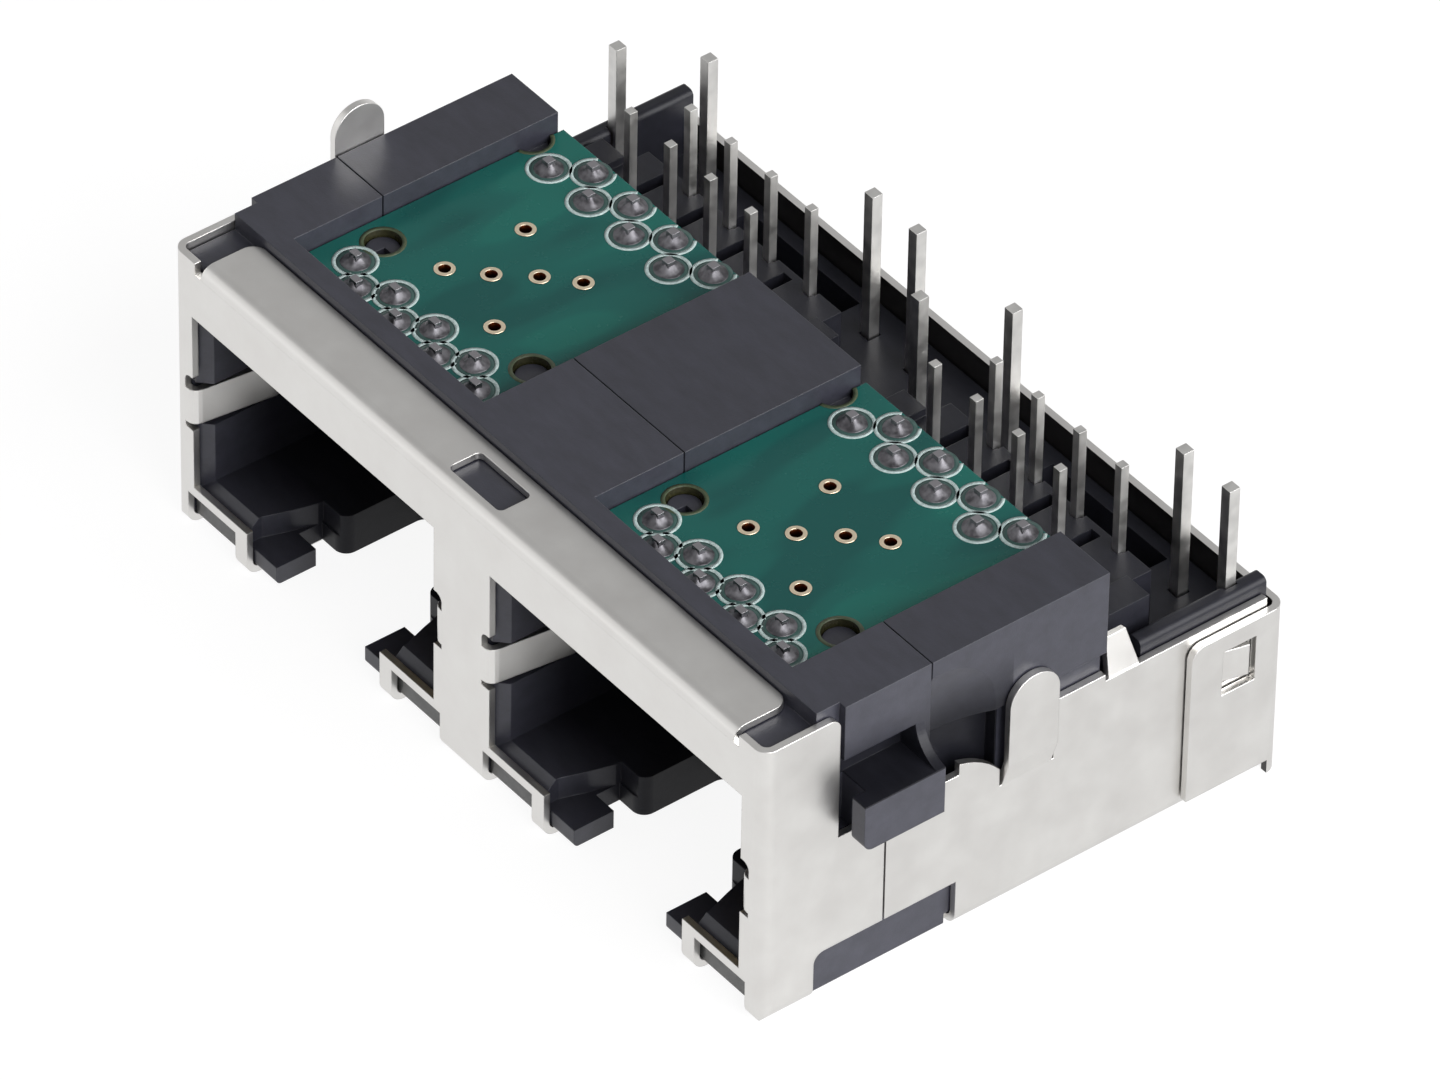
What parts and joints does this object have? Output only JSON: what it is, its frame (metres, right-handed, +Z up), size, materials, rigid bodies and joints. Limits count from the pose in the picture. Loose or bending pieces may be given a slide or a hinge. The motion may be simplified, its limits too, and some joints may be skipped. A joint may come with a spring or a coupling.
{
  "type": "rj45 board jack",
  "caption": "Low-profile shielded network jack with side-by-side plug ports, small boards on top, status lamps, spring contacts and solder pins for a board cut-out.",
  "frame": {"origin": "bottom centre of the part, lying on the top panel of its shield", "axes": "+X to the right along the ports seen from the port side, +Y from the port face to the rear wall, +Z up out of the side with the boards and pins"},
  "size_m": [0.0318, 0.02, 0.0129],
  "materials": {
    "shield": "plated sheet, satin",
    "housing": "moulded, fine matt",
    "carrier": "moulded, fine matt",
    "small_board": "solder mask, glossy",
    "solder": "reflowed, satin",
    "lamp": "clear, unlit",
    "lead": "tinned",
    "contact": "gold plated",
    "pin": "tinned"
  },
  "bodies": {
    "root": {"main_shield": "shield", "rear_shield": "shield", "front_housing": "housing", "rear_carrier": "carrier", "left_board": "small_board", "right_board": "small_board", "left_front_solder": "solder", "left_rear_solder": "solder", "right_front_solder": "solder", "right_rear_solder": "solder", "left_outer_lamp": "lamp", "left_inner_lamp": "lamp", "right_inner_lamp": "lamp", "right_outer_lamp": "lamp", "left_outer_lamp_leads": "lead", "left_inner_lamp_leads": "lead", "right_inner_lamp_leads": "lead", "right_outer_lamp_leads": "lead", "left_contact_1": "contact", "left_contact_2": "contact", "left_contact_3": "contact", "left_contact_4": "contact", "left_contact_5": "contact", "left_contact_6": "contact", "left_contact_7": "contact", "left_contact_8": "contact", "right_contact_1": "contact", "right_contact_2": "contact", "right_contact_3": "contact", "right_contact_4": "contact", "right_contact_5": "contact", "right_contact_6": "contact", "right_contact_7": "contact", "right_contact_8": "contact", "left_signal_pin_1": "pin", "left_signal_pin_2": "pin", "left_signal_pin_3": "pin", "left_signal_pin_4": "pin", "left_signal_pin_5": "pin", "left_signal_pin_6": "pin", "left_signal_pin_7": "pin", "left_signal_pin_8": "pin", "right_signal_pin_1": "pin", "right_signal_pin_2": "pin", "right_signal_pin_3": "pin", "right_signal_pin_4": "pin", "right_signal_pin_5": "pin", "right_signal_pin_6": "pin", "right_signal_pin_7": "pin", "right_signal_pin_8": "pin"}
  },
  "joints": []
}
